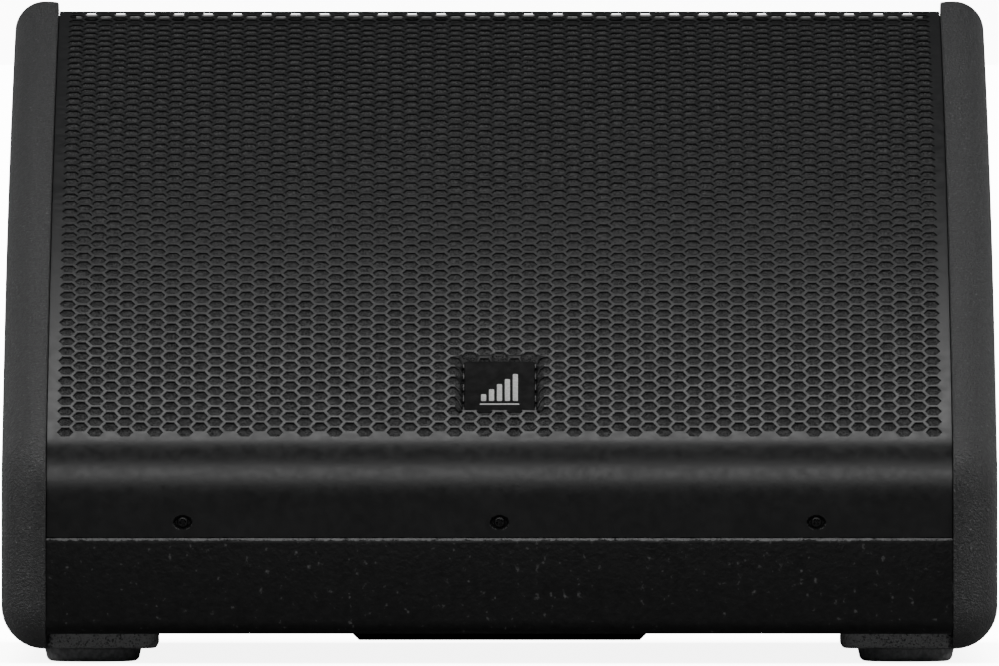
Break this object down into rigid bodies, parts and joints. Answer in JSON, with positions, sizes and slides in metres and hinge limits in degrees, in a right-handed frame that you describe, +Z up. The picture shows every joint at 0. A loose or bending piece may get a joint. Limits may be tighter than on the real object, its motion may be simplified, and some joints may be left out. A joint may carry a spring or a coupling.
{
  "type": "stage monitor wedge",
  "caption": "Low sloping stage monitor loudspeaker with a curved perforated front grille between two moulded end cheeks, on rubber feet.",
  "frame": {"origin": "centre of the footprint at the surface that the feet stand on", "axes": "+X along the width to the viewer's right seen from the front, +Y from the front to the rear, +Z up"},
  "size_m": [0.576, 0.5556, 0.3813],
  "materials": {
    "cabinet_paint": "textured black paint on plywood",
    "cheek_moulding": "moulded, leather-like grain",
    "grille_steel": "satin black powder coat",
    "grille_foam": "open-cell foam",
    "foot_rubber": "matt",
    "badge_black": "gloss",
    "badge_print": "off-white print",
    "moulded_black": "fine moulded texture",
    "screw_black": "black oxide",
    "bare_steel": "zinc plated",
    "wadding": "loose fibre",
    "basket_paint": "crinkle paint",
    "ferrite": "sintered",
    "cone_paper": "pulp paper",
    "coil_metal": "wound wire on a foil former",
    "spider_cloth": "resin-treated cloth",
    "diaphragm_metal": "foil",
    "amp_plate": "satin black",
    "heat_sink_black": "black anodised",
    "board_green": "solder mask",
    "contact_metal": "nickel plated",
    "knob_black": "satin",
    "lens_green": "clear green"
  },
  "bodies": {
    "cabinet": {"bottom_panel": "cabinet_paint", "kick_panel": "cabinet_paint", "rear_panel": "cabinet_paint", "left_side_panel": "cabinet_paint", "right_side_panel": "cabinet_paint", "baffle": "cabinet_paint", "left_cheek": "cheek_moulding", "right_cheek": "cheek_moulding", "cheek_screws": "screw_black", "front_left_foot": "foot_rubber", "front_right_foot": "foot_rubber", "rear_left_foot": "foot_rubber", "rear_right_foot": "foot_rubber", "foot_screws": "bare_steel", "grille": "grille_steel", "grille_foam": "grille_foam", "grille_screws": "screw_black", "badge": "badge_black", "handle_cup": "moulded_black", "handle_bar": "foot_rubber", "handle_screws": "screw_black", "left_port_tube": "moulded_black", "right_port_tube": "moulded_black", "damping_wadding": "wadding", "driver_basket": "basket_paint", "driver_gasket": "grille_foam", "driver_screws": "screw_black", "woofer_magnet": "ferrite", "front_pole_plate": "bare_steel", "back_pole_plate": "bare_steel", "horn": "moulded_black", "hf_housing": "basket_paint", "hf_rear_cap": "moulded_black", "amp_panel": "amp_plate", "amp_gasket": "grille_foam", "amp_back_box": "moulded_black", "amp_screws": "screw_black", "heat_sink": "heat_sink_black", "circuit_board": "board_green", "board_standoffs": "bare_steel", "mains_inlet": "moulded_black", "mains_blades": "contact_metal", "switch_frame": "moulded_black", "input_socket_1": "moulded_black", "input_socket_2": "moulded_black", "link_socket": "moulded_black", "link_pins": "contact_metal", "potentiometers": "bare_steel", "indicator_lenses": "lens_green"},
    "cone_assembly": {"woofer_cone": "cone_paper", "voice_coil": "coil_metal", "surround": "foot_rubber", "spider": "spider_cloth"},
    "hf_diaphragm": {"hf_diaphragm": "diaphragm_metal"},
    "level_knob_1": {"level_knob_1": "knob_black"},
    "level_knob_2": {"level_knob_2": "knob_black"},
    "power_rocker": {"power_rocker": "knob_black"},
    "latch_tab_1": {"latch_tab_1": "contact_metal"},
    "latch_tab_2": {"latch_tab_2": "contact_metal"},
    "fuse_drawer": {"fuse_drawer": "moulded_black"}
  },
  "joints": [
    {"name": "cone_travel", "type": "slide", "parent": "cabinet", "child": "cone_assembly", "axis": [0, -0.4334, 0.9012], "range_m": [-0.006, 0.006], "stiffness_N_per_m": 4000, "deforming": ["surround", "spider"]},
    {"name": "hf_travel", "type": "slide", "parent": "cabinet", "child": "hf_diaphragm", "axis": [0, -0.4334, 0.9012], "range_m": [-0.0004, 0.0004], "stiffness_N_per_m": 300},
    {"name": "level_1_turn", "type": "hinge", "parent": "cabinet", "child": "level_knob_1", "pos_m": [0.112, 0.26277, 0.136], "axis": [0, 1, 0], "range_deg": [-140, 140]},
    {"name": "level_2_turn", "type": "hinge", "parent": "cabinet", "child": "level_knob_2", "pos_m": [0.072, 0.26277, 0.136], "axis": [0, 1, 0], "range_deg": [-140, 140]},
    {"name": "power_tilt", "type": "hinge", "parent": "cabinet", "child": "power_rocker", "pos_m": [-0.044, 0.25877, 0.138], "axis": [-1, 0, 0], "range_deg": [-16, 0]},
    {"name": "latch_1_push", "type": "slide", "parent": "cabinet", "child": "latch_tab_1", "axis": [0, -1, 0], "range_m": [0, 0.002], "stiffness_N_per_m": 200, "springref_m": -0.002},
    {"name": "latch_2_push", "type": "slide", "parent": "cabinet", "child": "latch_tab_2", "axis": [0, -1, 0], "range_m": [0, 0.002], "stiffness_N_per_m": 200, "springref_m": -0.002},
    {"name": "fuse_drawer_slide", "type": "slide", "parent": "cabinet", "child": "fuse_drawer", "axis": [0, 1, 0], "range_m": [0, 0.015]}
  ]
}
